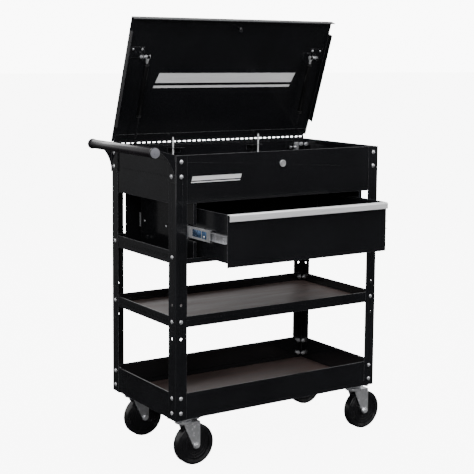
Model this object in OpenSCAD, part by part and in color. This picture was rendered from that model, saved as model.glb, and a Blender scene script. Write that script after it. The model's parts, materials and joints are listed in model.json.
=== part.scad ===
// Steel service cart: four angle posts carry a lidded tool tray, a drawer, a shelf and a deep bottom
// tray on four swivel casters. Millimetres, +Z up, +Y to the back. The origin is on the floor under
// the middle of the frame. The drawer and the lid are drawn open.

/* [Frame] */
// Width over the corner posts
body_w = 762; // [740:2:800]
// Depth over the corner posts
body_d = 400; // [396:2:420]
// Height of the tray's rim and the post tops above the floor
rim_z = 948; // [940:1:970]
// Height of the post feet above the floor
foot_z = 155; // [155:1:155]
// Leg width of a corner post
leg_w = 40; // [36:1:44]
// Plate thickness of a corner post
post_t = 2; // [1.5:0.5:3]
// Outside bend radius of a corner post
post_r = 3; // [2:0.5:5]
// Sheet thickness of the trays, shelves and panels
sheet = 1.2; // [1:0.1:1.5]
// Height of the folded hem along a tray rim
hem_h = 6; // [4:0.5:6]
// Thickness of the folded hem
hem_t = 2.6; // [2.2:0.1:3]

/* [Levels] */
// Underside of the top tray
tray_z = 805; // [800:1:812]
// Underside of the shelf under the drawer
drawer_shelf_z = 627; // [624:1:630]
// Height of the side and back rims of the shelf under the drawer
drawer_rim_h = 39; // [34:1:44]
// Height of the front rim of the shelf under the drawer
drawer_sill_h = 16; // [12:1:16]
// Underside of the middle shelf
mid_z = 436; // [430:1:440]
// Rim height of the middle shelf
mid_rim_h = 33; // [28:1:38]
// Rim height of the bottom tray
bottom_rim_h = 81; // [76:1:86]
// Thickness of the shelf liners
liner_t = 4; // [4:0.5:6]

/* [Bolts] */
// Distance from a post's corner to its bolt line
bolt_in = 20; // [18:1:22]
// Radius of the frame bolt holes
hole_r = 4; // [4:0.1:4.5]
// Step between the shelf height holes
hole_step = 51; // [50:1:52]
// Thickness of a frame nut
nut_t = 6.5; // [5:0.5:7]

/* [Lid] */
// Angle of the open lid from closed
lid_open = 70.3; // [60:0.1:75]
// Half the width of the lid
lid_half = 384; // [384:1:388]
// Length of the lid from the hinge pin to the front lip
lid_len = 418; // [412:0.5:420]
// Depth of the lip and side flanges
lid_lip = 20; // [18:1:20]
// Height of the hinge pin above the rim
pin_rise = 11.2; // [11:0.1:12]
// Step between hinge knuckles
knuckle_step = 19; // [19:1:19]

/* [Drawer] */
// Width of the drawer and its front
drawer_w = 590; // [580:2:592]
// How far the drawer stands open
drawer_out = 144; // [100:1:180]
// Depth of the drawer box
drawer_d = 350; // [340:1:350]
// Underside of the drawer box
drawer_z = 646; // [646:1:648]
// Height of the drawer box
drawer_h = 141; // [130:1:141]
// Bottom edge of the drawer front
front_z = 633; // [632:1:634]
// Top edge of the drawer front
front_top_z = 785; // [783:1:786]
// Height of the pull strip
pull_h = 17; // [15:1:20]
// Thickness of a ball bearing slide
slide_t = 12.7; // [12.5:0.1:13]
// Height of the slide's fixed channel
slide_h = 45; // [42:1:46]
// Height of the slide's centre line
slide_z = 714; // [710:1:718]

/* [Handle] */
// Distance of the handle tube from the left posts
handle_out = 68; // [60:1:80]
// Height of the handle tube
handle_z = 958; // [956:1:962]
// Radius of the handle tube
handle_r = 14.5; // [13:0.5:14.5]
// Plate thickness of the handle brackets
bracket_t = 3; // [2.5:0.5:3]

/* [Casters] */
// Radius of a wheel
wheel_r = 63.5; // [63.5:0.5:63.5]
// Width of a wheel's tread
wheel_w = 30; // [26:1:30]
// Distance from the swivel axis back to the axle
trail = 36; // [30:1:38]
// Distance of the swivel axis from the frame's left and right sides
caster_in_x = 52; // [50:1:60]
// Distance of the swivel axis from the frame's front and back
caster_in_y = 40; // [38:1:45]

/* [Hidden] */
$fn = 48;

// Frame planes: the outer faces of the posts, and of the trays between them
half_w = body_w / 2;
half_d = body_d / 2;
pan_x = half_w - post_t;
pan_y = half_d - post_t;
wall_in = pan_y - sheet;

// Bolt rows on the posts
tray_rows = [rim_z - 19.5, rim_z - 63];
drawer_row = drawer_shelf_z + 20;
mid_row = mid_z + 18;
bottom_rows = [foot_z + 67, foot_z + 21.5];
side_rows = concat(tray_rows, [drawer_row, mid_row], bottom_rows);
front_rows = concat(tray_rows, [mid_row], bottom_rows);
back_rows = side_rows;
free_rows = [mid_row + hole_step, mid_row - hole_step];
shank_r = hole_r - 0.1;
head_r = 6.5;
head_h = 3.5;

// Hinge line
knuckle_r = 2.8;
knuckles = 40;
fixed_knuckle_w = 8;
lid_knuckle_w = 10;
pin_r = 1.3;
run_gap = 0.05;
pin_y = pan_y + knuckle_r;
pin_z = rim_z + pin_rise;
lid_under = -knuckle_r + sheet;

// Gas struts: the pivot on the tray, the ball on the lid, and the line between them
strut_x = half_w - 66;
lid_ear_x = half_w - 46;
foot_ear_x = strut_x + 15;
foot_y = half_d - 16;
strut_foot_z = rim_z - 29;
ball_out = 295;
ball_drop = 20;
ball_y = pin_y - ball_out * cos(lid_open) - ball_drop * sin(lid_open);
ball_z = pin_z + ball_out * sin(lid_open) - ball_drop * cos(lid_open);
strut_len = norm([ball_y - foot_y, ball_z - strut_foot_z]);
strut_tilt = atan2(foot_y - ball_y, ball_z - strut_foot_z);
strut_r = 7.5;
strut_bore_r = 6.6;
rod_r = 3;
eye_w = 10;
socket_w = 12;
open_pivot_gap = 0.4;
cylinder_start = 128;
cylinder_end = strut_len - 22;

// Drawer lock rods and their guides
lock_rod_x = 168;
lock_rod_y = half_d - 20;
lock_rod_r = 3;
lock_rod_top = rim_z + 23;
lock_rod_low = tray_z - 8;
guide_z = rim_z - 12;
guide_t = 1.5;
foot_t = 2;
screw_r = 1.75;

// Key lock
lock_z = rim_z - 39;
lock_r = 8;
plug_r = 5.5;
cam_y = -half_d + 12;
cam_reach = 33;

// Drawer and slides
drawer_front_y = -half_d - 0.5 - drawer_out;
front_t = 1.5;
box_x = drawer_w / 2;
plate_x = box_x + slide_t + 0.1;
slide_len = drawer_d - 2;
slide_wall = 1.2;
// The fixed channel starts behind the front notch of its carrier plate
fixed_start = -half_d + 54;
fixed_end = -half_d + 351;
cage_h = 22;

// Casters
plate_t = 3;
crown_z = 134;
crown_top = 142;
race_z = 146;
fork_gap = 36;
fork_t = 3;
fork_heel = -6;
axle_r = 5;
sleeve_r = 6.5;
axle_z = wheel_r;

PAINT = [0.09, 0.095, 0.10];
ZINC = [0.72, 0.72, 0.73];
STEEL = [0.80, 0.81, 0.83];
LINER = [0.42, 0.38, 0.37];

// ---- shared shapes -------------------------------------------------------------------------

module box(lo, hi) { translate(lo) cube(hi - lo); }

module flip_x(on) { if (on) mirror([1, 0, 0]) children(); else children(); }

module flip_y(on) { if (on) mirror([0, 1, 0]) children(); else children(); }

// Draws for the right side, or mirrored for the left side
module side(sx) { flip_x(sx < 0) children(); }

// Open sheet metal tray with a folded hem round its rim
module pan(z, h) {
    difference() {
        box([-pan_x, -pan_y, z], [pan_x, pan_y, z + h]);
        box([-pan_x + sheet, -pan_y + sheet, z + sheet], [pan_x - sheet, pan_y - sheet, z + h - hem_h]);
        box([-pan_x + hem_t, -pan_y + hem_t, z + h - hem_h - 1],
            [pan_x - hem_t, pan_y - hem_t, z + h + 1]);
    }
}

// Places children on a post's side face, with +Z pointing out of it
module on_side_face(sx, sy, z) {
    translate([sx * half_w, sy * (half_d - bolt_in), z]) rotate([0, sx * 90, 0]) children();
}

// Places children on a post's front or back face, with +Z pointing out of it
module on_end_face(sx, sy, z) {
    translate([sx * (half_w - bolt_in), sy * half_d, z]) rotate([-sy * 90, 0, 0]) children();
}

// Holes through the posts and the walls behind them
module row_holes(side_z, front_z, back_z) {
    for (sx = [-1, 1], sy = [-1, 1]) {
        for (z = side_z) on_side_face(sx, sy, z) cylinder(r = hole_r, h = 24, center = true);
        for (z = sy < 0 ? front_z : back_z)
            on_end_face(sx, sy, z) cylinder(r = hole_r, h = 24, center = true);
    }
}

// Low domed screw or bolt head standing on z = 0
module dome(r, h) {
    ball = (r * r + h * h) / (2 * h);
    intersection() {
        translate([0, 0, h - ball]) sphere(r = ball);
        cylinder(r = r + 1, h = h);
    }
}

// Small pan head screw: the head on z = 0 and a stub below it
module screw(head, shank, depth) {
    dome(head, head * 0.55);
    translate([0, 0, -depth]) cylinder(r = shank, h = depth);
}

// Sheet in the XZ plane, from y0 to y0 + t
module upright(y0, t) { translate([0, y0 + t, 0]) rotate([90, 0, 0]) linear_extrude(t) children(); }

// ---- frame ---------------------------------------------------------------------------------

module post_profile() {
    difference() {
        union() {
            translate([-leg_w, -leg_w]) square([leg_w, leg_w - post_r]);
            translate([-leg_w, -post_r]) square([leg_w - post_r, post_r]);
            translate([-post_r, -post_r]) circle(r = post_r);
        }
        translate([-leg_w - 1, -leg_w - 1]) square(leg_w + 1 - post_t);
    }
}

module post(sx, sy) {
    color(PAINT)
    difference() {
        flip_x(sx < 0) flip_y(sy < 0) translate([half_w, half_d, foot_z])
            linear_extrude(rim_z - foot_z) post_profile();
        row_holes(concat(side_rows, free_rows), concat(front_rows, free_rows),
                  concat(back_rows, free_rows));
    }
}

module top_tray() {
    color(PAINT)
    difference() {
        pan(tray_z, rim_z - tray_z);
        row_holes(tray_rows, tray_rows, tray_rows);
        translate([0, -pan_y, lock_z]) rotate([90, 0, 0])
            cylinder(r = lock_r + 0.1, h = 10, center = true);
        for (sx = [-1, 1]) translate([sx * lock_rod_x, lock_rod_y, tray_z])
            cylinder(r = lock_rod_r + 0.3, h = 10, center = true);
    }
}

module drawer_shelf() {
    color(PAINT)
    difference() {
        pan(drawer_shelf_z, drawer_rim_h);
        row_holes([drawer_row], [], [drawer_row]);
        // The front rim is cut down to a low sill, so the drawer passes over it
        box([-pan_x + hem_t, -pan_y - 1, drawer_shelf_z + drawer_sill_h],
            [pan_x - hem_t, -pan_y + hem_t + 1, drawer_shelf_z + drawer_rim_h + 1]);
    }
}

module mid_shelf() {
    color(PAINT)
    difference() {
        pan(mid_z, mid_rim_h);
        row_holes([mid_row], [mid_row], [mid_row]);
    }
}

module bottom_tray() {
    color(PAINT)
    difference() {
        pan(foot_z, bottom_rim_h);
        row_holes(bottom_rows, bottom_rows, bottom_rows);
        at_casters() caster_bolt_places()
            translate([0, 0, foot_z]) cylinder(r = hole_r, h = 10, center = true);
    }
}

module liner(z) {
    gap = 1;
    box([-pan_x + sheet + gap, -pan_y + sheet + gap, z + sheet],
        [pan_x - sheet - gap, pan_y - sheet - gap, z + sheet + liner_t]);
}

module mid_liner() { color(LINER) liner(mid_z); }

module bottom_liner() {
    color(LINER)
    difference() {
        liner(foot_z);
        // Blind pockets over the caster nuts
        at_casters() caster_bolt_places()
            translate([0, 0, foot_z]) cylinder(r = 9, h = sheet + liner_t - 0.8);
    }
}

// Upright plate that carries one drawer slide, flanged outwards at the front, top and bottom
module side_plate(sx) {
    flange = 10;
    plate_back = half_d - 60;
    notch = slide_h / 2 + 1.5;
    low = drawer_shelf_z + sheet;
    color(PAINT)
    side(sx) difference() {
        union() {
            box([plate_x, -wall_in, low], [plate_x + sheet, plate_back, tray_z]);
            box([plate_x, -wall_in, low], [plate_x + flange, plate_back, low + sheet]);
            box([plate_x, -wall_in, tray_z - sheet], [plate_x + flange, plate_back, tray_z]);
            box([plate_x, -wall_in, low], [plate_x + flange, -wall_in + sheet, tray_z]);
        }
        // Notch round the travelling slide members
        box([plate_x - 1, -half_d, slide_z - notch],
            [plate_x + flange + 1, fixed_start + 2, slide_z + notch]);
        slide_screw_places() cylinder(r = 2.05, h = 8, center = true);
    }
}

// Screw places of the slides, in the plane of the right side plate, with +Z pointing out
module slide_screw_places() {
    for (y = [fixed_start + 126, fixed_end - 36])
        translate([plate_x + sheet, y, slide_z]) rotate([0, 90, 0]) children();
}

module back_panel() {
    edge = half_w - 45.5;
    flange = 10;
    low = drawer_shelf_z + sheet;
    y1 = pan_y - hem_t;
    color(PAINT) {
        difference() {
            box([-edge, y1 - flange, low], [edge, y1, tray_z]);
            box([-edge - 1, y1 - flange - 1, low + sheet], [edge + 1, y1 - sheet, tray_z - sheet]);
        }
    }
}

// ---- bolts and nuts ------------------------------------------------------------------------

// Extra stack height under a bolt head where a handle bracket is clamped
function lift(sx, z) = sx < 0 && z >= min(tray_rows) ? bracket_t : 0;

module carriage_bolt(raise = 0) {
    translate([0, 0, raise]) dome(head_r, head_h);
    translate([0, 0, -14]) cylinder(r = shank_r, h = 14 + raise);
}

module hex_nut(t = nut_t) {
    difference() {
        cylinder(r = 7.5, h = t, $fn = 6);
        translate([0, 0, -1]) cylinder(r = shank_r + 0.05, h = t + 2);
    }
}

module frame_bolts() {
    color(ZINC) {
        for (sx = [-1, 1], sy = [-1, 1]) {
            for (z = side_rows) on_side_face(sx, sy, z) carriage_bolt(lift(sx, z));
            for (z = sy < 0 ? front_rows : back_rows) on_end_face(sx, sy, z) carriage_bolt();
        }
        at_casters() caster_bolt_places() {
            translate([0, 0, foot_z - plate_t - 5]) cylinder(r = 7.2, h = 5, $fn = 6);
            translate([0, 0, foot_z - plate_t - 1]) cylinder(r = shank_r, h = plate_t + 5);
        }
    }
}

module frame_nuts() {
    stack = post_t + sheet;
    color(ZINC) {
        for (sx = [-1, 1], sy = [-1, 1]) {
            for (z = side_rows)
                on_side_face(sx, sy, z) translate([0, 0, -stack - nut_t]) hex_nut();
            for (z = sy < 0 ? front_rows : back_rows)
                on_end_face(sx, sy, z) translate([0, 0, -stack - nut_t]) hex_nut();
        }
        at_casters() caster_bolt_places() translate([0, 0, foot_z + sheet]) hex_nut(2.8);
    }
}

module small_screws() {
    color(ZINC) {
        for (sx = [-1, 1]) side(sx) {
            slide_screw_places() screw(4, 2, sheet + 0.9);
            foot_screw_places() screw(3.5, screw_r, foot_t);
        }
    }
}

// ---- handle --------------------------------------------------------------------------------

module handle_tube() {
    color([0.30, 0.29, 0.31])
    translate([-half_w - handle_out, 0, handle_z]) rotate([90, 0, 0])
    difference() {
        cylinder(r = handle_r, h = body_d, center = true);
        cylinder(r = handle_r - 1.5, h = body_d + 2, center = true);
    }
}

module handle_caps() {
    color([0.62, 0.62, 0.65])
    for (sy = [-1, 1])
        flip_y(sy < 0) translate([-half_w - handle_out, half_d, handle_z]) rotate([-90, 0, 0]) {
            cylinder(r = handle_r + 0.3, h = 2);
            translate([0, 0, 2]) dome(handle_r - 1.2, 1.5);
            translate([0, 0, -12]) cylinder(r = handle_r - 1.6, h = 12);
        }
}

// Flange bolted to a post, with a web that sweeps up to a ring round the handle tube
module handle_bracket(sy) {
    low = tray_rows[1] - 17;
    top = tray_rows[0] + 7.5;
    web_top = rim_z + 2;
    flange_x = -half_w - bracket_t;
    tube_x = -half_w - handle_out;
    sweep_r = handle_out + 46.6;
    color(PAINT)
    flip_y(sy > 0) difference() {
        union() {
            box([flange_x, -half_d, low], [-half_w, -half_d + leg_w, top]);
            upright(-half_d, bracket_t) difference() {
                union() {
                    polygon([[tube_x, low], [flange_x + 0.5, low], [flange_x + 0.5, web_top],
                             [tube_x, handle_z + 10]]);
                    translate([tube_x, handle_z]) circle(r = handle_r + 1.8);
                }
                // Curved lower edge
                translate([tube_x - 48, low - 4]) circle(r = sweep_r, $fn = 96);
            }
            translate([tube_x, -half_d, handle_z]) rotate([-90, 0, 0])
                cylinder(r = handle_r + 1.8, h = 5);
        }
        translate([tube_x, -half_d, handle_z]) rotate([90, 0, 0])
            cylinder(r = handle_r + 0.05, h = 20, center = true);
        for (z = tray_rows) translate([-half_w, -half_d + bolt_in, z]) rotate([0, 90, 0])
            cylinder(r = hole_r, h = 20, center = true);
    }
}

// ---- lid and hinge -------------------------------------------------------------------------

// Lid parts are drawn closed, with the hinge pin along X at the origin, and swung open
module swung() { translate([0, pin_y, pin_z]) rotate([-lid_open, 0, 0]) children(); }

module lid() {
    plate_back = -knuckle_r - 1;
    flange_front = -lid_len + 43;
    flange_back = -58;
    low = lid_under - lid_lip;
    top = lid_under + sheet;
    color(PAINT)
    swung() {
        box([-lid_half, -lid_len, lid_under], [lid_half, plate_back, top]);
        // Front lip, hemmed along its lower edge
        box([-lid_half, -lid_len, low], [lid_half, -lid_len + sheet, top]);
        box([-lid_half, -lid_len, low], [lid_half, -lid_len + 2 * sheet, low + 7]);
        // Side flanges, notched clear of the posts
        for (sx = [-1, 1]) side(sx) {
            box([lid_half - sheet, flange_front, low], [lid_half, flange_back, top]);
            box([lid_half - 2 * sheet, flange_front, low], [lid_half, flange_back, low + 6]);
        }
    }
}

module lid_hinge_leaf() {
    color(PAINT)
    swung() {
        difference() {
            union() {
                box([-knuckle_step * knuckles / 2 + 6, -27, -knuckle_r],
                    [knuckle_step * knuckles / 2 - 6, -knuckle_r - 0.6, lid_under]);
                for (i = [1 : knuckles - 1]) translate([(i - knuckles / 2) * knuckle_step, 0, 0]) {
                    box([-lid_knuckle_w / 2, -knuckle_r - 1, -knuckle_r], [lid_knuckle_w / 2, 0, lid_under]);
                    rotate([0, 90, 0]) cylinder(r = knuckle_r, h = lid_knuckle_w, center = true);
                }
            }
            rotate([0, 90, 0]) cylinder(r = pin_r + run_gap, h = body_w, center = true);
        }
    }
}

module tray_hinge_leaf() {
    between = half_w - leg_w - 1;
    full = (knuckles - 1) / 2 * knuckle_step + fixed_knuckle_w / 2;
    window_z = rim_z + 5;
    color(PAINT)
    difference() {
        union() {
            box([-between, pan_y, rim_z - 23], [between, pan_y + sheet, window_z]);
            box([-full, pan_y, rim_z], [full, pan_y + sheet, window_z]);
            for (i = [0 : knuckles - 1])
                translate([(i - (knuckles - 1) / 2) * knuckle_step, 0, 0]) {
                    box([-fixed_knuckle_w / 2, pan_y, window_z - 0.5],
                        [fixed_knuckle_w / 2, pan_y + sheet, pin_z]);
                    translate([0, pin_y, pin_z]) rotate([0, 90, 0])
                        cylinder(r = knuckle_r, h = fixed_knuckle_w, center = true);
                }
        }
        translate([0, pin_y, pin_z]) rotate([0, 90, 0])
            cylinder(r = pin_r + run_gap, h = body_w, center = true);
    }
}

module hinge_pin() {
    color(STEEL)
    translate([0, pin_y, pin_z]) rotate([0, 90, 0])
        cylinder(r = pin_r, h = (knuckles - 1) * knuckle_step + fixed_knuckle_w + 2, center = true);
}

// Slotted catch plate that hangs from the lid and takes the lock's cam
module lid_striker() {
    drop = 26;
    y0 = -(pin_y + half_d) + 8.5;
    color(PAINT)
    swung() {
        difference() {
            box([8, y0, lid_under - drop], [9.5, y0 + 11, lid_under]);
            box([7, y0 + 2.2, lid_under - drop + 3.5], [11, y0 + 8.8, lid_under - 12]);
        }
        box([8, y0, lid_under - 1.5], [24, y0 + 11, lid_under]);
    }
}

// Pivot of one strut's ball on the lid, with +Z along the pivot to the right
module at_ball() { translate([0, -ball_out, -ball_drop]) rotate([0, 90, 0]) children(); }

module lid_strut_brackets() {
    color(PAINT)
    swung() for (sx = [-1, 1]) side(sx) {
        box([lid_ear_x - 14, -ball_out - 26, lid_under - 2], [lid_ear_x + 36, -ball_out + 10, lid_under]);
        difference() {
            box([lid_ear_x, -ball_out - 9, -ball_drop - 9], [lid_ear_x + 2, -ball_out + 9, lid_under]);
            at_ball() translate([0, 0, lid_ear_x]) cylinder(r = 3.1, h = 10, center = true);
        }
    }
}

// Ball studs with their nuts, which stop just short of the struts' sockets, and the lid's screws
module lid_fixings() {
    stud_start = strut_x + socket_w / 2 + open_pivot_gap;
    color(ZINC)
    swung() {
        for (sx = [-1, 1]) side(sx) {
            at_ball() {
                translate([0, 0, stud_start]) cylinder(r = 3, h = lid_ear_x + 7 - stud_start);
                translate([0, 0, stud_start + 1]) cylinder(r = 5, h = 3);
                translate([0, 0, lid_ear_x - 5]) cylinder(r = 6.5, h = 5, $fn = 6);
                translate([0, 0, lid_ear_x + 2]) cylinder(r = 6, h = 4, $fn = 6);
            }
            for (x = [lid_ear_x - 6, lid_ear_x + 26])
                translate([x, -ball_out - 18, lid_under - 2]) rotate([180, 0, 0]) dome(4, 2.2);
        }
        translate([18, -(pin_y + half_d) + 14, lid_under - 1.5]) rotate([180, 0, 0]) dome(3.5, 2);
    }
}

// ---- gas struts ----------------------------------------------------------------------------

// Strut parts are drawn upright from the foot pivot and tilted to the lid's ball
module tilted(sx) {
    side(sx) translate([strut_x, foot_y, strut_foot_z]) rotate([strut_tilt, 0, 0]) children();
}

module foot_screw_places() {
    for (z = [strut_foot_z - 12, strut_foot_z + 12])
        translate([foot_ear_x + 13, wall_in - foot_t, z]) rotate([90, 0, 0]) children();
}

module strut_feet() {
    ear_x = foot_ear_x;
    color(ZINC)
    for (sx = [-1, 1]) side(sx) {
        difference() {
            union() {
                box([ear_x, wall_in - foot_t, strut_foot_z - 19], [ear_x + 22, wall_in, strut_foot_z + 17]);
                box([ear_x, foot_y - 9, strut_foot_z - 9], [ear_x + 2, wall_in, strut_foot_z + 9]);
            }
            translate([ear_x, foot_y, strut_foot_z]) rotate([0, 90, 0])
                cylinder(r = 2.9, h = 10, center = true);
            foot_screw_places() cylinder(r = screw_r + 0.05, h = 10, center = true);
        }
        translate([0, foot_y, strut_foot_z]) rotate([0, 90, 0]) {
            translate([0, 0, strut_x - 8]) cylinder(r = rod_r, h = ear_x + 6 - strut_x + 8);
            translate([0, 0, strut_x + eye_w / 2 + 0.3])
                cylinder(r = 5, h = ear_x - strut_x - eye_w / 2 - 0.3);
            translate([0, 0, strut_x - eye_w / 2 - 3]) cylinder(r = 4.5, h = 2.7);
            translate([0, 0, ear_x + 2]) cylinder(r = 5.5, h = 3.5, $fn = 6);
        }
    }
}

module strut_rod(sx) {
    piston_z = cylinder_start + 25;
    color(STEEL)
    tilted(sx) difference() {
        union() {
            rotate([0, 90, 0]) cylinder(r = 6, h = eye_w, center = true);
            cylinder(r = 4.5, h = 18);
            cylinder(r = rod_r, h = piston_z + 2);
            translate([0, 0, piston_z]) cylinder(r = strut_bore_r - run_gap, h = 9);
        }
        rotate([0, 90, 0]) cylinder(r = rod_r + run_gap, h = eye_w + 4, center = true);
    }
}

module strut_cylinder(sx) {
    color([0.12, 0.12, 0.125])
    tilted(sx) {
        difference() {
            translate([0, 0, cylinder_start]) cylinder(r = strut_r, h = cylinder_end - cylinder_start);
            translate([0, 0, cylinder_start + 10])
                cylinder(r = strut_bore_r, h = cylinder_end - cylinder_start - 16);
            translate([0, 0, cylinder_start - 1]) cylinder(r = rod_r + run_gap, h = 20);
        }
        translate([0, 0, cylinder_end - 1]) cylinder(r = 3.5, h = 20);
        translate([0, 0, strut_len]) rotate([0, 90, 0]) cylinder(r = 6.5, h = socket_w, center = true);
    }
}

// ---- lock and drawer interlock -------------------------------------------------------------

module lock_body() {
    color(ZINC)
    translate([0, 0, lock_z]) rotate([90, 0, 0]) difference() {
        union() {
            translate([0, 0, pan_y]) cylinder(r = 10.5, h = 3.5);
            translate([0, 0, pan_y - 7]) cylinder(r = lock_r, h = 8);
            translate([0, 0, pan_y - sheet - 4]) cylinder(r = 12, h = 4, $fn = 6);
        }
        translate([0, 0, pan_y - 20]) cylinder(r = plug_r + run_gap, h = 40);
    }
}

module lock_plug() {
    color(STEEL)
    translate([0, 0, lock_z]) rotate([90, 0, 0]) difference() {
        translate([0, 0, -cam_y]) cylinder(r = plug_r, h = pan_y + 4 + cam_y);
        // Key slot
        translate([-0.8, -3.6, pan_y - 8]) cube([1.6, 7.2, 20]);
    }
}

// Hooked cam: the arm lies along -X unlocked, and stands up behind the striker when locked
module lock_cam() {
    color(ZINC) {
        upright(cam_y, 2) translate([0, lock_z]) rotate([0, 0, 90]) difference() {
            union() {
                circle(r = 7.5);
                translate([-5, 0]) square([10, cam_reach]);
                translate([-5, cam_reach - 6]) square([17, 6]);
            }
            circle(r = 3);
        }
        translate([0, cam_y + 4.5, lock_z]) rotate([90, 0, 0]) cylinder(r = 3, h = 4.5);
        translate([0, cam_y + 2, lock_z]) rotate([-90, 0, 0]) cylinder(r = 5, h = 2.5, $fn = 6);
    }
}

module lock_rod(sx) {
    color(STEEL)
    side(sx) translate([lock_rod_x, lock_rod_y, 0]) {
        translate([0, 0, lock_rod_low]) cylinder(r = lock_rod_r, h = lock_rod_top - lock_rod_low - 1);
        translate([0, 0, lock_rod_top - 1]) cylinder(r1 = lock_rod_r, r2 = lock_rod_r - 1, h = 1);
        translate([0, 0, guide_z - 30]) cylinder(r = 5, h = 3);
    }
}

module rod_guides() {
    x0 = lock_rod_x - 38;
    x1 = lock_rod_x + 12;
    color(PAINT)
    for (sx = [-1, 1]) side(sx) difference() {
        union() {
            box([x0, wall_in - 27, guide_z - guide_t], [x1, wall_in, guide_z]);
            box([x0, wall_in - guide_t, guide_z - 18], [x1, wall_in, guide_z]);
        }
        translate([lock_rod_x, lock_rod_y, guide_z]) cylinder(r = lock_rod_r + 0.3, h = 10, center = true);
    }
}

// ---- drawer --------------------------------------------------------------------------------

module drawer_box() {
    back = drawer_front_y + drawer_d;
    top = drawer_z + drawer_h;
    color(PAINT) {
        difference() {
            box([-box_x, drawer_front_y, drawer_z], [box_x, back, top]);
            box([-box_x + sheet, drawer_front_y + sheet, drawer_z + sheet],
                [box_x - sheet, back - sheet, top - 6]);
            box([-box_x + 3, drawer_front_y + 3, top - 7], [box_x - 3, back - 3, top + 1]);
            for (sx = [-1, 1]) side(sx) drawer_screw_places() cylinder(r = 2, h = 8, center = true);
            // The front wall is lower, so that the pull strip folds over it
            box([-box_x - 1, drawer_front_y - 1, front_top_z - 0.5],
                [box_x + 1, drawer_front_y + 3.5, top + 1]);
        }
        // Lugs that the lock rods drop into
        for (sx = [-1, 1]) side(sx) difference() {
            box([lock_rod_x - 12, back - 1, top - sheet], [lock_rod_x + 12, back + 40, top]);
            translate([lock_rod_x, lock_rod_y - drawer_out, top]) cylinder(r = 4.5, h = 10, center = true);
        }
    }
}

module drawer_screw_places() {
    for (y = [drawer_front_y + 18, drawer_front_y + 150, drawer_front_y + 300])
        translate([box_x, y, slide_z]) rotate([0, 90, 0]) children();
}

module drawer_front() {
    color(PAINT)
    box([-box_x, drawer_front_y - front_t, front_z], [box_x, drawer_front_y, front_top_z]);
}

// Aluminium strip along the drawer's top edge, open underneath for the fingers
module drawer_pull() {
    lip = 10;
    wall = 1.8;
    corner = 5;
    y0 = drawer_front_y - front_t;
    end_gap = 2;
    color([0.90, 0.90, 0.92])
    translate([-box_x + end_gap, 0, 0]) rotate([90, 0, 90]) linear_extrude(drawer_w - 2 * end_gap) {
        difference() {
            union() {
                translate([y0 - lip + corner, front_top_z + wall - corner])
                    square([lip - corner + front_t + 3, corner]);
                translate([y0 - lip, front_top_z - pull_h]) square([lip, pull_h + wall - corner]);
                translate([y0 - lip + corner, front_top_z + wall - corner]) circle(r = corner);
            }
            translate([y0 - lip + wall, front_top_z - pull_h - 1])
                square([lip + front_t + 5, pull_h + 1 - corner + wall]);
            translate([y0 - lip + corner, front_top_z - corner]) square([lip + 5, corner]);
            translate([y0 - lip + corner, front_top_z + wall - corner]) circle(r = corner - wall);
        }
        // Bead along the lower edge of the lip
        translate([y0 - lip + 1.2, front_top_z - pull_h]) circle(r = 1.2);
    }
}

// Channel with its back against x = back_x, its flanges running to x = edge_x
module channel(back_x, edge_x, h, y0, len) {
    toward = sign(edge_x - back_x);
    x0 = min(back_x, edge_x);
    x1 = max(back_x, edge_x);
    cut0 = toward > 0 ? x0 + slide_wall : x0 - 1;
    cut1 = toward > 0 ? x1 + 1 : x1 - slide_wall;
    difference() {
        box([x0, y0, slide_z - h / 2], [x1, y0 + len, slide_z + h / 2]);
        box([cut0, y0 - 1, slide_z - h / 2 + slide_wall], [cut1, y0 + len + 1, slide_z + h / 2 - slide_wall]);
    }
}

module slide_outer(sx) {
    color(ZINC)
    side(sx) difference() {
        channel(plate_x - 0.05, box_x + 1.6, slide_h, fixed_start, fixed_end - fixed_start);
        slide_screw_places() cylinder(r = 2.05, h = 8, center = true);
    }
}

module slide_middle(sx) {
    y0 = fixed_end - slide_len - drawer_out / 2;
    color(ZINC)
    side(sx) difference() {
        channel(plate_x - 1.9, box_x + 2.4, slide_h - 10, y0, slide_len);
        // Windows near the front end, over the ball cage
        for (span = [[20, 46], [49, 98]])
            box([plate_x - 5, y0 + span[0], slide_z - cage_h / 2],
                [plate_x + 5, y0 + span[1], slide_z + cage_h / 2]);
    }
}

module slide_inner(sx) {
    color(ZINC)
    side(sx) {
        difference() {
            channel(box_x, plate_x - 4, slide_h - 21, drawer_front_y + 1, slide_len);
            drawer_screw_places() cylinder(r = 2, h = 8, center = true);
        }
        drawer_screw_places() translate([0, 0, slide_wall]) {
            dome(4, 2);
            translate([0, 0, -2.2]) cylinder(r = 1.95, h = 2.3);
        }
    }
}

// ---- casters -------------------------------------------------------------------------------

module at_caster(sx, sy) {
    translate([sx * (half_w - caster_in_x), sy * (half_d - caster_in_y), 0]) children();
}

module at_casters() { for (sx = [-1, 1], sy = [-1, 1]) at_caster(sx, sy) children(); }

module caster_bolt_places() {
    for (x = [-36, 36], y = [-23, 23]) translate([x, y, 0]) children();
}

module caster_plates() {
    balls = 14;
    color(ZINC)
    at_casters() {
        difference() {
            translate([-45, -32.5, foot_z - plate_t]) cube([90, 65, plate_t]);
            caster_bolt_places() cylinder(r = hole_r, h = 400);
        }
        translate([0, 0, race_z]) cylinder(r1 = 26, r2 = 28.5, h = foot_z - plate_t - race_z);
        // King pin, riveted under the fork
        translate([0, 0, crown_z - 4]) cylinder(r = 6, h = race_z - crown_z + 5);
        translate([0, 0, crown_z - 4.5]) cylinder(r = 9, h = 4);
        for (i = [0 : balls - 1]) rotate([0, 0, i * 360 / balls])
            translate([21, 0, race_z - 1.7]) sphere(r = 2);
    }
}

// Point where a line from p touches a circle at c with radius r, on its left
function tangent(p, c, r) =
    let (v = c - p, d = norm(v), a = atan2(v[1], v[0]) - asin(r / d), t = sqrt(d * d - r * r))
    p + t * [cos(a), sin(a)];

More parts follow.
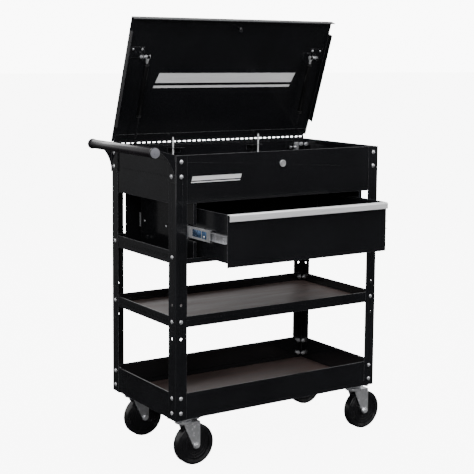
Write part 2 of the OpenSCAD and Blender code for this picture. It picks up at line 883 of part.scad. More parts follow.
module fork_leg() {
    foot_r = 12;
    axle = [trail, axle_z];
    heel = [fork_heel, 126];
    square_x = trail + foot_r;
    polygon([[heel[0], crown_z + fork_t], [square_x, crown_z + fork_t], [square_x, axle_z],
             axle, tangent(heel, axle, foot_r), heel]);
    translate(axle) circle(r = foot_r);
}

module caster_fork(sx, sy) {
    outer = fork_gap / 2 + fork_t;
    color(ZINC)
    at_caster(sx, sy) difference() {
        union() {
            translate([0, 0, crown_z]) cylinder(r = 26, h = crown_top - crown_z);
            box([fork_heel, -outer, crown_z], [trail + 12, outer, crown_z + fork_t]);
            for (y0 = [-outer, fork_gap / 2]) upright(y0, fork_t) fork_leg();
        }
        cylinder(r = 6.1, h = 400);
        translate([trail, 0, axle_z]) rotate([90, 0, 0]) cylinder(r = axle_r + 0.05, h = 80, center = true);
    }
}

module caster_wheel(sx, sy) {
    shoulder = 4;
    hub_r = 16;
    web_r = wheel_r - 13;
    tread = wheel_w / 2;
    color([0.07, 0.07, 0.08])
    at_caster(sx, sy) translate([trail, 0, axle_z]) rotate([90, 0, 0]) rotate_extrude() difference() {
        union() {
            translate([0, -tread + shoulder]) square([wheel_r, wheel_w - 2 * shoulder]);
            translate([0, -tread]) square([wheel_r - shoulder, wheel_w]);
            for (y = [-tread + shoulder, tread - shoulder]) translate([wheel_r - shoulder, y])
                circle(r = shoulder);
            translate([0, -fork_gap / 2 + 0.5]) square([hub_r, fork_gap - 1]);
        }
        translate([-wheel_r, -50]) square([wheel_r + sleeve_r + run_gap, 100]);
        for (y = [-tread - 1, tread - 3.5]) translate([hub_r, y]) square([web_r - hub_r, 4.5]);
    }
}

module caster_axle(sx, sy) {
    outer = fork_gap / 2 + fork_t;
    color(STEEL)
    at_caster(sx, sy) translate([trail, 0, axle_z]) rotate([90, 0, 0]) {
        cylinder(r = axle_r, h = 2 * outer + 16, center = true);
        translate([0, 0, outer]) cylinder(r = 8.5, h = 5, $fn = 6);
        translate([0, 0, -outer - 7]) cylinder(r = 8.5, h = 7, $fn = 6);
        difference() {
            cylinder(r = sleeve_r, h = fork_gap, center = true);
            cylinder(r = axle_r - 0.5, h = fork_gap + 2, center = true);
        }
    }
}

post(-1, -1);  // post_front_left
post(1, -1);  // post_front_right
post(-1, 1);  // post_back_left
post(1, 1);  // post_back_right
top_tray();
drawer_shelf();
mid_shelf();
bottom_tray();
side_plate(-1);  // side_plate_left
side_plate(1);  // side_plate_right
back_panel();
mid_liner();
bottom_liner();
tray_hinge_leaf();
hinge_pin();
handle_tube();
handle_caps();
handle_bracket(-1);  // handle_bracket_front
handle_bracket(1);  // handle_bracket_back
strut_feet();
slide_outer(-1);  // slide_outer_left
slide_outer(1);  // slide_outer_right
lock_body();
rod_guides();
frame_bolts();
frame_nuts();
small_screws();
caster_plates();
lid();
lid_hinge_leaf();
lid_striker();
lid_strut_brackets();
lid_fixings();
strut_rod(-1);  // strut_rod_left
strut_rod(1);  // strut_rod_right
strut_cylinder(-1);  // strut_cylinder_left
strut_cylinder(1);  // strut_cylinder_right
lock_plug();
lock_cam();
lock_rod(-1);  // lock_rod_left
lock_rod(1);  // lock_rod_right
drawer_box();
drawer_front();
drawer_pull();
slide_inner(-1);  // slide_inner_left
slide_inner(1);  // slide_inner_right
slide_middle(-1);  // slide_middle_left
slide_middle(1);  // slide_middle_right
caster_fork(-1, -1);  // caster_fork_front_left
caster_fork(1, -1);  // caster_fork_front_right
caster_fork(-1, 1);  // caster_fork_back_left
caster_fork(1, 1);  // caster_fork_back_right
caster_wheel(-1, -1);  // caster_wheel_front_left
caster_wheel(1, -1);  // caster_wheel_front_right
caster_wheel(-1, 1);  // caster_wheel_back_left
caster_wheel(1, 1);  // caster_wheel_back_right
caster_axle(-1, -1);  // caster_axle_front_left
caster_axle(1, -1);  // caster_axle_front_right
caster_axle(-1, 1);  // caster_axle_back_left
caster_axle(1, 1);  // caster_axle_back_right
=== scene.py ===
"""Looks of the service cart: materials, small fitted pieces, floor, lights and camera.

Metres, +Z up, in the frame of the CAD model.
"""

import json
import math

import bmesh
import bpy
from mathutils import Matrix, Vector


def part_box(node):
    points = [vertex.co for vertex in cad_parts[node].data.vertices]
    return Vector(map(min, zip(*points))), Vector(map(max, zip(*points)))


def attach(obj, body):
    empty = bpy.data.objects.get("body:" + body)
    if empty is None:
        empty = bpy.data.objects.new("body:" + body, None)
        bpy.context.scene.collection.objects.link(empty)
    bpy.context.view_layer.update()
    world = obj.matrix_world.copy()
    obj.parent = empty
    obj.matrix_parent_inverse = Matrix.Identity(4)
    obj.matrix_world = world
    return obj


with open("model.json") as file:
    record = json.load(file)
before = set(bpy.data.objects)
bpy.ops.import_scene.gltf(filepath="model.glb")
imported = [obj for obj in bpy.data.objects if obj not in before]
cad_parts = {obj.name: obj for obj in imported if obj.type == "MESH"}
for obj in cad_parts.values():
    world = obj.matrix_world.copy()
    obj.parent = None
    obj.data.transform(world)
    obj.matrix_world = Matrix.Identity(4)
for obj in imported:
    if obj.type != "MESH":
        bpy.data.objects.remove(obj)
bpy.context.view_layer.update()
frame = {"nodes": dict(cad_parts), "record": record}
NODES = frame["nodes"]
RECORD = frame["record"]
JOINTS = {joint["name"]: joint for joint in RECORD["behaviour"]["joints"]}
MM = 0.001
# The band that a noise texture's values mostly stay in
NOISE_BAND = (0.3, 0.7)


# ---- node materials ------------------------------------------------------------------------

class Shader:
    """A Principled material and short ways to add texture nodes to it."""

    def __init__(self, name, color, roughness, metallic=0.0, specular=0.5):
        self.material = bpy.data.materials.new(name)
        self.material.use_nodes = True
        self.tree = self.material.node_tree
        self.bsdf = self.tree.nodes["Principled BSDF"]
        self.set("Base Color", (*color, 1.0))
        self.set("Roughness", roughness)
        self.set("Metallic", metallic)
        self.set("Specular IOR Level", specular)
        self.place = self.node("ShaderNodeTexCoord").outputs["Object"]
        self.normals = []

    def set(self, socket, value):
        self.bsdf.inputs[socket].default_value = value

    def node(self, kind, **values):
        made = self.tree.nodes.new(kind)
        for key, value in values.items():
            setattr(made, key, value)
        return made

    def link(self, output, target):
        self.tree.links.new(output, target)
        return target

    def stretched(self, scale):
        """Object coordinates scaled along each axis, for grain that runs one way."""
        mapping = self.node("ShaderNodeMapping")
        mapping.inputs["Scale"].default_value = scale
        self.link(self.place, mapping.inputs["Vector"])
        return mapping.outputs["Vector"]

    def noise(self, scale, detail=2.0, stretch=None, roughness=0.5, distortion=0.0):
        made = self.node("ShaderNodeTexNoise")
        made.inputs["Scale"].default_value = scale
        made.inputs["Detail"].default_value = detail
        made.inputs["Roughness"].default_value = roughness
        made.inputs["Distortion"].default_value = distortion
        self.link(self.stretched(stretch) if stretch else self.place, made.inputs["Vector"])
        return made.outputs["Fac"]

    def ramp(self, fac, low, high, low_color=(0, 0, 0), high_color=(1, 1, 1)):
        made = self.node("ShaderNodeValToRGB")
        ends = made.color_ramp.elements
        ends[0].position, ends[1].position = low, high
        ends[0].color, ends[1].color = (*low_color, 1.0), (*high_color, 1.0)
        self.link(fac, made.inputs["Fac"])
        return made.outputs["Color"]

    def span(self, fac, low, high, from_low=0.0, from_high=1.0):
        """Maps a 0..1 value onto low..high."""
        made = self.node("ShaderNodeMapRange")
        made.inputs["From Min"].default_value = from_low
        made.inputs["From Max"].default_value = from_high
        made.inputs["To Min"].default_value = low
        made.inputs["To Max"].default_value = high
        self.link(fac, made.inputs["Value"])
        return made.outputs["Result"]

    def math(self, operation, a, b):
        made = self.node("ShaderNodeMath", operation=operation)
        for socket, value in zip(made.inputs, (a, b)):
            if isinstance(value, (int, float)):
                socket.default_value = value
            else:
                self.link(value, socket)
        return made.outputs["Value"]

    def mix(self, fac, a, b):
        made = self.node("ShaderNodeMix", data_type="RGBA")
        self.link(fac, made.inputs["Factor"])
        for socket, value in ((made.inputs[6], a), (made.inputs[7], b)):
            if isinstance(value, tuple):
                socket.default_value = (*value, 1.0)
            else:
                self.link(value, socket)
        return made.outputs[2]

    def edges(self, radius, gain, samples=4):
        """Near 1 along sharp outer edges and 0 on flat faces: where a finish wears or thins, and in the gloss
        paint also a painted highlight along the bends.
        """
        rounded = self.node("ShaderNodeBevel", samples=samples)
        rounded.inputs["Radius"].default_value = radius
        flat = self.node("ShaderNodeNewGeometry")
        dot = self.node("ShaderNodeVectorMath", operation="DOT_PRODUCT")
        self.link(rounded.outputs["Normal"], dot.inputs[0])
        self.link(flat.outputs["Normal"], dot.inputs[1])
        turned = self.math("SUBTRACT", 1.0, dot.outputs["Value"])
        made = self.node("ShaderNodeMath", operation="MULTIPLY", use_clamp=True)
        self.link(turned, made.inputs[0])
        made.inputs[1].default_value = gain
        return made.outputs["Value"]

    def soft_edges(self, radius, samples=6):
        """Rounds the shading over sharp edges, so that folds and corners catch the light."""
        rounded = self.node("ShaderNodeBevel", samples=samples)
        rounded.inputs["Radius"].default_value = radius
        self.normals.append(rounded.outputs["Normal"])

    def bump(self, height, strength, distance):
        """Adds a bump layer on top of those already there."""
        made = self.node("ShaderNodeBump")
        made.inputs["Strength"].default_value = strength
        made.inputs["Distance"].default_value = distance
        self.link(height, made.inputs["Height"])
        if self.normals:
            self.link(self.normals[-1], made.inputs["Normal"])
        self.normals.append(made.outputs["Normal"])
        self.link(made.outputs["Normal"], self.bsdf.inputs["Normal"])


def shade(color, factor):
    """A colour made darker or lighter."""
    return tuple(c * factor for c in color)


def gloss_paint(name, color=(0.0098, 0.0102, 0.0118), wear_and_highlight=(0.17, 0.17, 0.18), rough=(0.08, 0.17)):
    """Glossy powder coat: faint orange peel, patchy gloss, hairline scuffs, and thin worn edges lightened
    further as a painted highlight along the bends.
    """
    s = Shader(name, color, rough[0])
    patches = s.noise(scale=5.0, detail=4.0)
    lines = s.noise(scale=60.0, detail=6.0, stretch=(1.0, 1.0, 0.08), roughness=0.7)
    scuffs = s.ramp(lines, low=0.62, high=0.72)
    rough_map = s.math("ADD", s.span(patches, *rough, *NOISE_BAND), s.math("MULTIPLY", scuffs, 0.10))
    s.link(rough_map, s.bsdf.inputs["Roughness"])
    uneven = s.span(s.noise(scale=90.0, detail=3.0), low=0.5, high=1.0, from_low=0.35, from_high=0.65)
    # Edge mask, partly real wear and partly a painted highlight that lightens folds and rims as if they
    # caught the light
    edge = s.math("MULTIPLY", s.edges(radius=2.0 * MM, gain=4.0), uneven)
    tone = s.mix(s.ramp(patches, low=0.35, high=0.7), shade(color, 0.85), shade(color, 1.2))
    s.link(s.mix(edge, tone, wear_and_highlight), s.bsdf.inputs["Base Color"])
    s.soft_edges(radius=1.5 * MM)
    s.bump(s.noise(scale=300.0), strength=0.05, distance=0.2 * MM)
    return s.material


def plated(name, color, rough=(0.20, 0.38), blotch=0.75, metallic=0.6):
    """Zinc or nickel plate: metal with cloudy tone, fine grain and brighter rubbed edges."""
    s = Shader(name, color, rough[0], metallic=metallic)
    clouds = s.noise(scale=70.0, detail=5.0, roughness=0.6)
    fine = s.noise(scale=900.0)
    tone = s.mix(s.ramp(clouds, low=0.35, high=0.68), shade(color, blotch), color)
    bright = tuple(min(1.0, c) for c in shade(color, 1.25))
    s.link(s.mix(s.edges(radius=0.7 * MM, gain=3.0), tone, bright), s.bsdf.inputs["Base Color"])
    uneven = s.math("ADD", s.math("MULTIPLY", clouds, 0.6), s.math("MULTIPLY", fine, 0.4))
    s.link(s.span(uneven, *rough, *NOISE_BAND), s.bsdf.inputs["Roughness"])
    s.bump(fine, strength=0.12, distance=0.12 * MM)
    return s.material


def brushed_aluminium(name):
    """Anodised strip with hair-fine brushing along X."""
    s = Shader(name, (0.93, 0.93, 0.95), 0.3, metallic=0.25)
    lines = s.noise(scale=700.0, detail=3.0, stretch=(0.012, 1.0, 1.0))
    s.link(s.ramp(lines, *NOISE_BAND, (0.90, 0.90, 0.92), (0.98, 0.98, 0.99)), s.bsdf.inputs["Base Color"])
    s.link(s.span(lines, 0.26, 0.42, *NOISE_BAND), s.bsdf.inputs["Roughness"])
    s.bump(lines, strength=0.15, distance=0.06 * MM)
    return s.material


def shelf_liner(name, light, dark):
    """Wood-look liner: long streaks along X, pores and a soft sheen."""
    s = Shader(name, light, 0.5, specular=0.35)
    streaks = s.noise(scale=42.0, detail=6.0, stretch=(0.09, 1.0, 1.0), roughness=0.62, distortion=0.5)
    pores = s.ramp(s.noise(scale=520.0, stretch=(0.10, 1.0, 1.0)), low=0.55, high=0.68)
    faded = s.span(s.noise(scale=6.0, detail=3.0), low=0.0, high=0.5, from_low=0.35, from_high=0.7)
    tone = s.mix(s.ramp(streaks, low=0.36, high=0.66), dark, light)
    tone = s.mix(s.math("MULTIPLY", pores, 0.35), tone, shade(dark, 0.35))
    s.link(s.mix(faded, tone, shade(light, 0.8)), s.bsdf.inputs["Base Color"])
    s.link(s.span(streaks, 0.40, 0.62, *NOISE_BAND), s.bsdf.inputs["Roughness"])
    s.bump(streaks, strength=0.25, distance=0.3 * MM)
    s.bump(pores, strength=0.20, distance=-0.2 * MM)
    return s.material


def hard_moulding(name, color=(0.010, 0.010, 0.0115), rough=(0.14, 0.32)):
    """Black moulding, hard for wheels or dull for seals: dusty in patches, scuffed along its edges."""
    s = Shader(name, color, rough[0])
    dust = s.noise(scale=28.0, detail=6.0, roughness=0.65)
    dusty = s.span(dust, low=0.0, high=0.5, from_low=0.5, from_high=0.85)
    tone = s.mix(dusty, color, (0.022, 0.021, 0.021))
    s.link(s.mix(s.edges(radius=1.5 * MM, gain=2.0), tone, (0.065, 0.065, 0.07)), s.bsdf.inputs["Base Color"])
    s.link(s.span(dust, *rough, *NOISE_BAND), s.bsdf.inputs["Roughness"])
    s.bump(s.noise(scale=260.0, detail=3.0), strength=0.20, distance=0.25 * MM)
    return s.material


def moulded_cap(name):
    """Pale grey moulded cap with a satin skin and a faint lilac tinge."""
    s = Shader(name, (0.21, 0.21, 0.24), 0.32)
    cloud = s.noise(scale=120.0, detail=4.0)
    tone = s.mix(s.ramp(cloud, low=0.35, high=0.68), (0.19, 0.19, 0.22), (0.24, 0.24, 0.27))
    s.link(s.mix(s.edges(radius=0.8 * MM, gain=3.0), tone, (0.36, 0.36, 0.39)), s.bsdf.inputs["Base Color"])
    s.link(s.span(cloud, 0.26, 0.42, *NOISE_BAND), s.bsdf.inputs["Roughness"])
    s.bump(s.noise(scale=700.0), strength=0.10, distance=0.10 * MM)
    return s.material


def blank_badge(name):
    """Plain silver foil, faintly brushed along X."""
    s = Shader(name, (0.95, 0.95, 0.96), 0.32, metallic=0.1)
    lines = s.noise(scale=600.0, stretch=(0.02, 1.0, 1.0))
    s.link(s.ramp(lines, *NOISE_BAND, (0.90, 0.90, 0.91), (0.97, 0.97, 0.98)), s.bsdf.inputs["Base Color"])
    s.link(s.span(lines, 0.26, 0.40, *NOISE_BAND), s.bsdf.inputs["Roughness"])
    return s.material


MATERIALS = {
    # A gloss paint's second colour is its edge colour: real wear, lightened as a painted highlight along the
    # bends
    "black_paint": gloss_paint("paint_gloss_black"),
    "handle_grey": gloss_paint(
        "paint_handle_grey", (0.0125, 0.0105, 0.013), (0.05, 0.046, 0.05), (0.20, 0.30)),
    "cap_silver": moulded_cap("cap_silver"),
    "zinc_plate": plated("zinc_plate", (0.86, 0.87, 0.90), (0.16, 0.30), 0.78, metallic=0.7),
    "bright_steel": plated("steel_bright", (0.90, 0.91, 0.93), (0.12, 0.24), 0.88),
    "pull_aluminium": brushed_aluminium("aluminium_brushed"),
    "liner": shelf_liner("liner_wood_look", (0.108, 0.073, 0.066), (0.036, 0.023, 0.021)),
    "strut_black": gloss_paint("paint_strut", (0.0055, 0.0055, 0.0062), (0.03, 0.03, 0.03), (0.16, 0.26)),
    "wheel_black": hard_moulding("wheel_black"),
}
SILVER_FOIL = blank_badge("foil_silver")
CAGE_BLUE = plated("cage_blue_zinc", (0.12, 0.24, 0.46), (0.20, 0.34), 0.6)
DARK_CHROME = plated("chrome_dark", (0.30, 0.30, 0.32), (0.08, 0.16), 0.9, metallic=1.0)
BALL_STEEL = plated("ball_steel", (0.80, 0.81, 0.83), (0.08, 0.16), 0.95)
SEAL_RUBBER = hard_moulding("seal_rubber", (0.012, 0.012, 0.012), (0.5, 0.7))

# Bevel width of each CAD node's edges, by material slot
EDGE_ROUND = {
    "black_paint": 0.45 * MM, "handle_grey": 0.4 * MM, "cap_silver": 0.8 * MM, "zinc_plate": 0.35 * MM,
    "bright_steel": 0.3 * MM, "pull_aluminium": 0.5 * MM, "liner": 0.8 * MM, "strut_black": 0.6 * MM,
    "wheel_black": 1.2 * MM,
}


def dress_cad_nodes():
    for part in RECORD["subparts"]:
        node = NODES[part["node"]]
        node.data.materials.clear()
        node.data.materials.append(
            DARK_CHROME if part["node"].startswith("strut_rod") else MATERIALS[part["material_slot"]])
        weld = node.modifiers.new("weld", "WELD")
        weld.merge_threshold = 0.005 * MM
        bevel = node.modifiers.new("edge_round", "BEVEL")
        bevel.width = EDGE_ROUND[part["material_slot"]]
        bevel.segments = 2
        bevel.limit_method = "ANGLE"
        bevel.angle_limit = math.radians(40)
        bevel.harden_normals = True
        bevel.use_clamp_overlap = True


# ---- small pieces --------------------------------------------------------------------------

def finish_mesh(name, mesh_builder, body, material):
    """Makes an object from a bmesh, rides it on a body and gives it its slot and material."""
    data = bpy.data.meshes.new(name)
    mesh_builder.to_mesh(data)
    mesh_builder.free()
    made = bpy.data.objects.new(name, data)
    bpy.context.scene.collection.objects.link(made)
    data.materials.append(material)
    for polygon in data.polygons:
        polygon.use_smooth = True
    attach(made, body)
    return made


def add_ring(bm, centre, axis, radius, tube, turns=40, sides=10):
    """Adds a torus round an axis."""
    turn = Vector((0, 0, 1)).rotation_difference(axis).to_matrix()
    rows = []
    for i in range(turns):
        a = 2 * math.pi * i / turns
        row = []
        for j in range(sides):
            b = 2 * math.pi * j / sides
            r = radius + tube * math.cos(b)
            spot = Vector((r * math.cos(a), r * math.sin(a), tube * math.sin(b)))
            row.append(bm.verts.new(centre + turn @ spot))
        rows.append(row)
    for i in range(turns):
        here, there = rows[i], rows[(i + 1) % turns]
        for j in range(sides):
            bm.faces.new((here[j], there[j], there[(j + 1) % sides], here[(j + 1) % sides]))


def add_ball(bm, centre, radius):
    bmesh.ops.create_icosphere(bm, subdivisions=2, radius=radius, matrix=Matrix.Translation(centre))


def add_block(bm, low, high):
    """Adds a box between two corners."""
    for v in bmesh.ops.create_cube(bm, size=1.0)["verts"]:
        v.co = Vector(((low[i] + high[i]) / 2 + v.co[i] * (high[i] - low[i]) for i in range(3)))


def slide_cages():
    """Balls over and under each middle slide member, a blue cage behind its windows and a stop pin."""
    pitch, ball = 11 * MM, 1.5 * MM
    row_front, row_back = 8 * MM, 10 * MM
    cage_front, cage_back = 19 * MM, 99 * MM
    cage_half_height, cage_half_thickness = 12.5 * MM, 0.3 * MM
    stop_back, stop_below, stop_radius = 34 * MM, 5 * MM, 4.0 * MM
    for side in ("left", "right"):
        low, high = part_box("slide_middle_" + side)
        outer_low, outer_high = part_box("slide_outer_" + side)
        inner_low, inner_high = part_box("slide_inner_" + side)
        middle_x = (low.x + high.x) / 2
        for where, near, far in (("outer", outer_low.z, outer_high.z), ("inner", inner_low.z, inner_high.z)):
            bm = bmesh.new()
            start = (max(low.y, outer_low.y) if where == "outer" else low.y) + row_front
            count = int((high.y - start - row_back) / pitch)
            for middle_edge, channel_edge in ((low.z, near), (high.z, far)):
                for i in range(count):
                    z = (channel_edge + middle_edge) / 2
                    add_ball(bm, Vector((middle_x, start + i * pitch, z)), ball)
            finish_mesh("slide_balls_%s_%s" % (where, side), bm, "slide_" + side, BALL_STEEL)
        behind = 0.4 * MM
        x = inner_low.x - behind if side == "left" else inner_high.x + behind
        middle_z = (low.z + high.z) / 2
        bm = bmesh.new()
        add_block(bm, (x - cage_half_thickness, low.y + cage_front, middle_z - cage_half_height),
                  (x + cage_half_thickness, low.y + cage_back, middle_z + cage_half_height))
        cage = finish_mesh("slide_cage_" + side, bm, "slide_" + side, CAGE_BLUE)
        cage.modifiers.new("edge_round", "BEVEL").width = 0.15 * MM
        bm = bmesh.new()
        add_ball(bm, Vector((x, low.y + stop_back, middle_z - stop_below)), stop_radius)
        finish_mesh("slide_stop_" + side, bm, "slide_" + side, BALL_STEEL)


def stripe(bm, centre, right, up, width, height, lean):
    """Adds a slanted foil stripe with a raised rim."""
    normal = right.cross(up)
    shift = lean * height
    # Inset from the stripe's edge and height over the sheet, from the foot of the rim to the face inside it
    profile = ((0.0, 0.15 * MM), (0.0, 0.5 * MM), (0.8 * MM, 0.5 * MM), (1.1 * MM, 0.38 * MM))
    last = []
    for inset, raise_by in profile:
        ring = []
        for u, v in ((-1, -1), (1, -1), (1, 1), (-1, 1)):
            x = u * (width / 2 - inset) + v * shift / 2
            y = v * (height / 2 - inset)
            ring.append(bm.verts.new(centre + right * x + up * y + normal * raise_by))
        for i in range(4 if last else 0):
            bm.faces.new((last[i], last[(i + 1) % 4], ring[(i + 1) % 4], ring[i]))
        last = ring
    bm.faces.new(last)


def badge(name, body, centre, right, up, width, height, lean):
    """Plain foil decal: a broad stripe over a thin one, with nothing written on it."""
    bm = bmesh.new()
    # Each stripe's middle and height, as shares of the badge's height
    for middle, share in ((0.17, 0.66), (-0.42, 0.16)):
        place = centre + up * (middle * height) + right * (middle * height * lean)
        stripe(bm, place, right, up, width, share * height, lean)
    made = finish_mesh(name, bm, body, SILVER_FOIL)
    for polygon in made.data.polygons:
        polygon.use_smooth = False


def blank_badges():
    tray_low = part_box("top_tray")[0]
    x_axis, z_axis = Vector((1, 0, 0)), Vector((0, 0, 1))
    front = Vector((-239 * MM, tray_low.y, tray_low.z + 70 * MM))
    lean = 0.3
    badge("badge_front", "frame", front, x_axis, z_axis, 172 * MM, 19 * MM, lean)
    # The lid's inner face runs up from the hinge pin, leaning back by the open angle
    pin = Vector(JOINTS["lid_hinge"]["pos_m"])
    angle = math.radians(max(JOINTS["lid_hinge"]["range_deg"]))
    up = Vector((0, -math.cos(angle), math.sin(angle)))
    inward = Vector((0, -math.sin(angle), -math.cos(angle)))
    sheet = 1.6 * MM
    centre = pin + up * 209 * MM + inward * sheet + x_axis * 5 * MM
    badge("badge_lid", "lid_assembly", centre, x_axis, up, 530 * MM, 50 * MM, lean)


def add_lathe(bm, start, axis, profile, turns=32):
    """Adds a closed turned piece: profile is (distance along the axis, radius) from end to end."""
    turn = Vector((0, 0, 1)).rotation_difference(axis).to_matrix()
    angles = [2 * math.pi * i / turns for i in range(turns)]
    rows = []
    for along, radius in profile:
        spots = [Vector((radius * math.cos(a), radius * math.sin(a), along)) for a in angles]
        rows.append([bm.verts.new(start + turn @ spot) for spot in spots])
    for here, there in zip(rows, rows[1:]):
        for i in range(turns):
            bm.faces.new((here[i], here[(i + 1) % turns], there[(i + 1) % turns], there[i]))
    bm.faces.new(list(reversed(rows[0])))
    bm.faces.new(rows[-1])


def strut_length(side):
    """Distance from a strut's foot pivot to its socket, from the cylinder's box and the slide axis."""
    foot = Vector(JOINTS["strut_swing_" + side]["pos_m"])
    axis = Vector(JOINTS["strut_stroke_" + side]["axis"]).normalized()
    socket_radius = 6.5 * MM
    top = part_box("strut_cylinder_" + side)[1].z - socket_radius
    return (top - foot.z) / axis.z


def strut_trim():
    """Seal collar at the mouth of each strut cylinder, and a plated neck and socket cover at its top."""
    # Distance from the foot pivot, radius and tube radius of each ring, in mm
    rings = ((129, 6.6, 1.2), (134, 7.4, 0.5), (300, 7.4, 0.5))
    # Distance from the socket and radius, in mm: the neck along the strut, the covers across it
    neck = ((-21.5, 3.6), (-21.0, 4.4), (-9.5, 4.4), (-8.0, 5.2), (-6.6, 5.2), (-6.2, 4.4))
    left_cover = ((5.6, 6.9), (6.2, 6.9), (6.35, 6.6))
    right_cover = ((5.0, 6.7), (5.9, 6.9), (6.3, 6.6))
    left, right = Vector((-1, 0, 0)), Vector((1, 0, 0))
    for side in ("left", "right"):
        pivot = Vector(JOINTS["strut_swing_" + side]["pos_m"])
        axis = Vector(JOINTS["strut_stroke_" + side]["axis"]).normalized()
        bm = bmesh.new()
        for along, radius, tube in rings:
            add_ring(bm, pivot + axis * (along * MM), axis, radius * MM, tube * MM)
        finish_mesh("strut_seal_" + side, bm, "cylinder_" + side, SEAL_RUBBER)
        socket = pivot + axis * strut_length(side)
        bm = bmesh.new()
        for way, profile in ((axis, neck), (left, left_cover), (right, right_cover)):
            add_lathe(bm, socket, way, [(along * MM, radius * MM) for along, radius in profile])
        steel = MATERIALS["bright_steel"]
        finish_mesh("strut_socket_" + side, bm, "cylinder_" + side, steel)


def wheel_trim():
    """Moulding ridges on each wheel's two faces and a seal round the hub."""
    # Radius, distance from the wheel's middle plane and tube radius of each ridge, in mm
    ridges = ((55.5, 14.4, 1.5), (49.5, 13.6, 1.2), (42.0, 11.6, 1.3), (33.0, 11.6, 1.1), (24.0, 11.6, 1.1),
              (18.5, 11.8, 1.0))
    axle, turns = Vector((0, 1, 0)), 72
    for end in ("front", "back"):
        for side in ("left", "right"):
            name = "%s_%s" % (end, side)
            low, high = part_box("caster_wheel_" + name)
            centre = (low + high) / 2
            bm = bmesh.new()
            for face in (-1, 1):
                for radius, depth, tube in ridges:
                    add_ring(bm, centre + axle * (face * depth * MM), axle, radius * MM, tube * MM, turns)
            finish_mesh("wheel_ridges_" + name, bm, "wheel_" + name, MATERIALS["wheel_black"])


def lock_trim():
    """Rounded bezel ring round the key lock."""
    low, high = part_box("lock_body")
    centre = Vector(((low.x + high.x) / 2, low.y, (low.z + high.z) / 2))
    bm = bmesh.new()
    add_ring(bm, centre, Vector((0, 1, 0)), radius=9.2 * MM, tube=1.3 * MM, turns=48)
    finish_mesh("lock_bezel", bm, "frame", MATERIALS["bright_steel"])


def cap_trim():
    """Raised rings on each handle cap."""
    low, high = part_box("handle_caps")
    x, z = (low.x + high.x) / 2, (low.z + high.z) / 2
    bm = bmesh.new()
    for y, inward in ((low.y, 1), (high.y, -1)):
        for depth, radius in ((1.1, 9.0), (1.7, 12.2)):
            centre = Vector((x, y + inward * depth * MM, z))
            add_ring(bm, centre, Vector((0, 1, 0)), radius * MM, tube=0.7 * MM, turns=48)
    finish_mesh("cap_rings", bm, "frame", MATERIALS["cap_silver"])


# ---- stage ---------------------------------------------------------------------------------

def plain_floor():
    """Pale floor that is plain white to the camera and dim to everything else."""
    half = 60.0
    corners = [(-half, -half, 0), (half, -half, 0), (half, half, 0), (-half, half, 0)]
    data = bpy.data.meshes.new("floor")
    data.from_pydata(corners, [], [(0, 1, 2, 3)])
    floor = bpy.data.objects.new("floor", data)
    bpy.context.scene.collection.objects.link(floor)
    s = Shader("floor_pale", (0.45, 0.45, 0.45), 0.8, specular=0.1)
    tone = s.ramp(s.noise(scale=0.6), *NOISE_BAND, (0.44, 0.44, 0.44), (0.46, 0.46, 0.46))
    s.link(tone, s.bsdf.inputs["Base Color"])
    s.set("Emission Color", (1.0, 1.0, 1.0, 1.0))
    seen = s.node("ShaderNodeLightPath").outputs["Is Camera Ray"]
    white_strength = 8.0
    s.link(s.math("MULTIPLY", seen, white_strength), s.bsdf.inputs["Emission Strength"])
    data.materials.append(s.material)
    floor.visible_glossy = False


def studio_world():
    """White to the camera; for light and reflections a dim room, bright overhead and low at the back."""
    world = bpy.data.worlds.new("studio")
    bpy.context.scene.world = world
    world.use_nodes = True
    tree = world.node_tree

    def node(kind, **values):
        made = tree.nodes.new(kind)
        for key, value in values.items():
            setattr(made, key, value)
        return made

    def level(value, stops):
        """Grey level along one axis of the direction: stops are (place from -1 to 1, grey)."""
        span = node("ShaderNodeMapRange")
        span.inputs["From Min"].default_value = -1.0
        tree.links.new(value, span.inputs["Value"])
        ramp = node("ShaderNodeValToRGB")
        tree.links.new(span.outputs["Result"], ramp.inputs["Fac"])
        elements = ramp.color_ramp.elements
        while len(elements) < len(stops):
            elements.new(0.5)
        for element, (position, grey) in zip(elements, stops):
            element.position = (position + 1) / 2
            element.color = (grey, grey, grey, 1.0)
        return ramp.outputs["Color"]

    split = node("ShaderNodeSeparateXYZ")
    tree.links.new(node("ShaderNodeTexCoord").outputs["Generated"], split.inputs["Vector"])
    height = level(split.outputs["Z"], (
        (-1.0, 0.02), (-0.2, 0.03), (-0.04, 0.07), (0.24, 0.16), (0.6, 0.8), (1.0, 1.1)))
    low = level(split.outputs["Z"], (
        (-0.26, 0.0), (-0.18, 0.10), (-0.05, 0.20), (0.08, 1.0), (0.35, 0.8), (0.7, 0.0)))
    behind = level(split.outputs["Y"], (
        (-1.0, 0.0), (0.15, 0.0), (0.55, 0.7), (0.85, 1.0), (1.0, 1.0)))
    glow = node("ShaderNodeVectorMath", operation="MULTIPLY")
    tree.links.new(low, glow.inputs[0])
    tree.links.new(behind, glow.inputs[1])
    total = node("ShaderNodeVectorMath", operation="ADD")
    tree.links.new(height, total.inputs[0])
    tree.links.new(glow.outputs["Vector"], total.inputs[1])
    room = tree.nodes["Background"]
    tree.links.new(total.outputs["Vector"], room.inputs["Color"])
    room.inputs["Strength"].default_value = 0.8
    white = node("ShaderNodeBackground")
    white.inputs["Color"].default_value = (1.0, 1.0, 1.0, 1.0)
    white.inputs["Strength"].default_value = 9.5
    mix = node("ShaderNodeMixShader")
    tree.links.new(node("ShaderNodeLightPath").outputs["Is Camera Ray"], mix.inputs["Fac"])
    tree.links.new(room.outputs["Background"], mix.inputs[1])
    tree.links.new(white.outputs["Background"], mix.inputs[2])
    tree.links.new(mix.outputs["Shader"], tree.nodes["World Output"].inputs["Surface"])


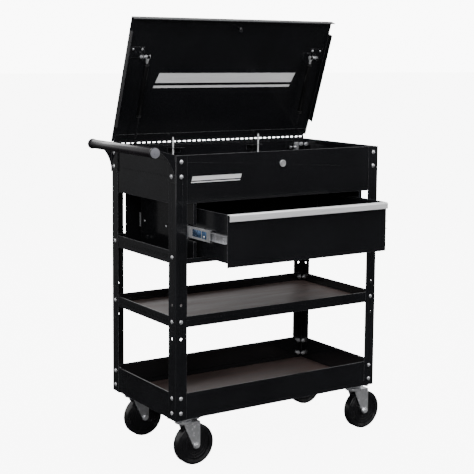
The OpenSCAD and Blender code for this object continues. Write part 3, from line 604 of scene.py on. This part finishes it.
def soft_light(name, place, target, size, power, color=(1, 1, 1)):
    """Area light at a place, turned to a target."""
    data = bpy.data.lights.new(name, "AREA")
    data.shape = "RECTANGLE"
    data.size, data.size_y = size
    data.energy = power
    data.color = color
    made = bpy.data.objects.new(name, data)
    bpy.context.scene.collection.objects.link(made)
    made.location = place
    made.rotation_mode = "QUATERNION"
    made.rotation_quaternion = (Vector(target) - Vector(place)).to_track_quat("-Z", "Y")


def studio_lights():
    middle = (0.0, 0.0, 0.7)
    soft_light("ceiling", (0.0, -0.6, 3.6), middle, (3.6, 3.0), 120)
    soft_light("key_left", (-2.6, -3.8, 2.6), middle, (1.6, 2.2), 60)
    soft_light("fill_right", (3.6, -2.2, 2.0), middle, (1.2, 2.2), 30)
    soft_light("side_left", (-4.2, 1.2, 1.5), middle, (1.6, 2.4), 6, (1.0, 0.95, 0.92))
    soft_light("behind", (0.6, 3.8, 2.6), middle, (3.0, 1.6), 40)


def photo_camera():
    """Camera solved from the photo's corner posts, bolt rows and free holes."""
    yaw, pitch, roll = (math.radians(v) for v in (-33.47, 6.72, 0.47))
    forward = Vector((-math.sin(yaw) * math.cos(pitch), math.cos(yaw) * math.cos(pitch), -math.sin(pitch)))
    level = Vector((math.cos(yaw), math.sin(yaw), 0))
    above = level.cross(forward)
    right = math.cos(roll) * level + math.sin(roll) * above
    up = -math.sin(roll) * level + math.cos(roll) * above
    data = bpy.data.cameras.new("camera")
    data.sensor_width = 36.0
    data.lens = 87.86  # mm
    data.shift_y = -0.0992
    data.clip_start, data.clip_end = 0.1, 200.0
    camera = bpy.data.objects.new("camera", data)
    bpy.context.scene.collection.objects.link(camera)
    turn = Matrix((right, up, -forward)).transposed()
    camera.matrix_world = Matrix.Translation((-2.0672, -3.0731, 1.2419)) @ turn.to_4x4()
    bpy.context.scene.camera = camera


dress_cad_nodes()
slide_cages()
blank_badges()
strut_trim()
wheel_trim()
lock_trim()
cap_trim()
plain_floor()
studio_world()
studio_lights()
photo_camera()
